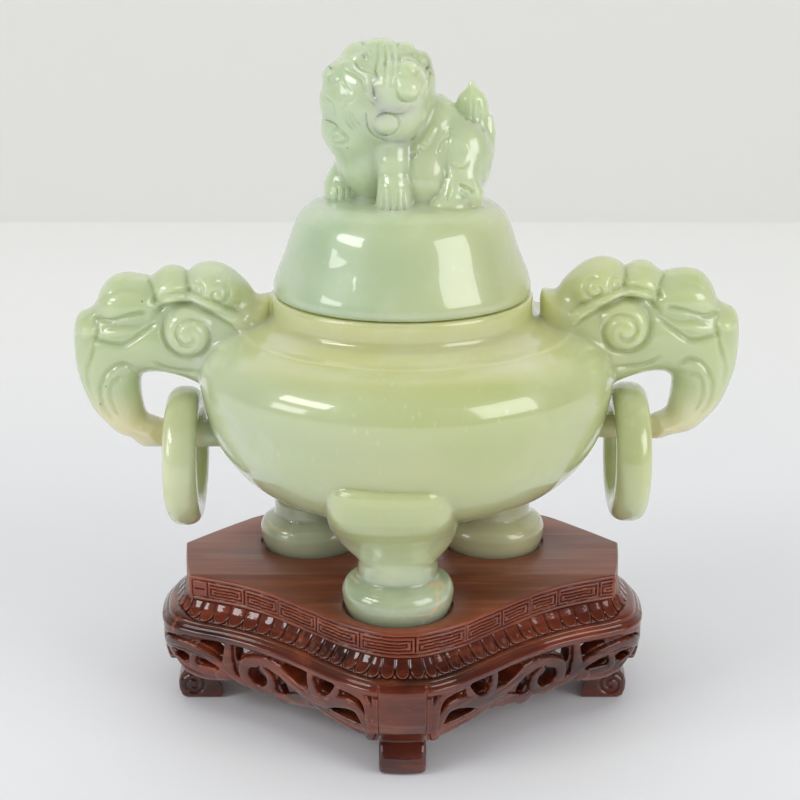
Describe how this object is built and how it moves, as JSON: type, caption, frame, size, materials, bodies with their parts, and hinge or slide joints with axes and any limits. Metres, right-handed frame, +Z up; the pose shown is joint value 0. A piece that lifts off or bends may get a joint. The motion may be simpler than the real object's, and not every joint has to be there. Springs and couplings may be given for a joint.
{
  "type": "carved jade tripod censer on a wooden stand",
  "caption": "Carved green jade tripod censer with lion-topped lift-off lid, beast-head handles with free rings, on a pierced dark hardwood stand.",
  "frame": {"origin": "on the floor under the middle of the stand", "axes": "+Z up, -Y the front (the lobe of the stand and the single front leg of the censer), +X to the right seen from the front, through both handles"},
  "size_m": [0.1695, 0.1056, 0.1737],
  "materials": {
    "jade_body": "polished translucent jade",
    "jade_lid": "polished translucent jade",
    "jade_ring": "polished translucent jade",
    "rosewood_top": "satin rubbed rosewood",
    "lacquered_wood": "dark red-brown gloss lacquer",
    "pin_wood": "plain unfinished dowel"
  },
  "bodies": {
    "stand": {"stand_top_board": "rosewood_top", "petal_board": "lacquered_wood", "stand_leg_front": "lacquered_wood", "stand_leg_right": "lacquered_wood", "stand_leg_back": "lacquered_wood", "stand_leg_left": "lacquered_wood", "apron_front_right": "lacquered_wood", "apron_back_right": "lacquered_wood", "apron_back_left": "lacquered_wood", "apron_front_left": "lacquered_wood", "board_pin_1": "pin_wood", "board_pin_2": "pin_wood", "board_pin_3": "pin_wood", "board_pin_4": "pin_wood"},
    "censer": {"censer_body": "jade_body"},
    "lid": {"lid": "jade_lid"},
    "ring_left": {"ring_left": "jade_ring"},
    "ring_right": {"ring_right": "jade_ring"}
  },
  "joints": [
    {"name": "censer_lift", "type": "slide", "parent": "stand", "child": "censer", "axis": [0, 0, 1], "range_m": [0, 0.06]},
    {"name": "lid_lift", "type": "slide", "parent": "censer", "child": "lid", "axis": [0, 0, 1], "range_m": [0, 0.06]},
    {"name": "ring_left_swing", "type": "hinge", "parent": "censer", "child": "ring_left", "pos_m": [-0.0563, 0, 0.0736], "axis": [1, 0, 0], "range_deg": [-50, 50]},
    {"name": "ring_right_swing", "type": "hinge", "parent": "censer", "child": "ring_right", "pos_m": [0.0584, 0, 0.0754], "axis": [1, 0, 0], "range_deg": [-50, 50]}
  ]
}
